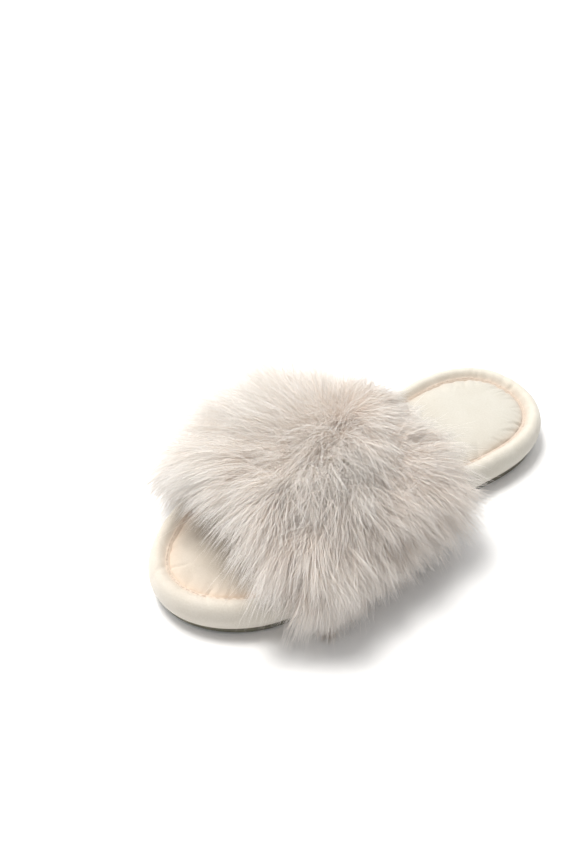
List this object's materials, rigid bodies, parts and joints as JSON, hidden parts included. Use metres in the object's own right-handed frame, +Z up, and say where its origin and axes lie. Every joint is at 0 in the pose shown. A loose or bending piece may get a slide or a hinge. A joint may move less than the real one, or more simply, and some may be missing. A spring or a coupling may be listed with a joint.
{
  "type": "fluffy house slipper",
  "caption": "Open-toe, open-heel slide slipper with a padded plush footbed and rim, a thin flat outsole and a wide band covered in long fluffy faux fur.",
  "frame": {"origin": "on the floor plane, on the underside of the outsole, halfway between the ends of the rim", "axes": "+Z up, -Y towards the toe, +Y towards the heel, +X towards the little-toe side of a left foot"},
  "size_m": [0.1721, 0.265, 0.0931],
  "materials": {
    "outsole": "matte moulded foam rubber, fine grain",
    "board": "pressed fibre board",
    "foam": "open-cell foam",
    "plush": "short brushed plush",
    "thread": "spun polyester thread",
    "lining": "short brushed plush",
    "backing": "knitted backing cloth",
    "fur": "long soft faux-fur pile"
  },
  "bodies": {
    "root": {"outsole": "outsole", "insole_board": "board", "rim_foam_roll": "foam", "rim_cover": "plush", "footbed_foam": "foam", "footbed_cover": "plush", "footbed_seam_thread": "thread", "upper_lining": "lining", "upper_foam": "foam", "fur_backing": "backing", "band_rear_thread": "thread", "band_front_thread": "thread", "fur_pile": "fur"}
  },
  "joints": []
}
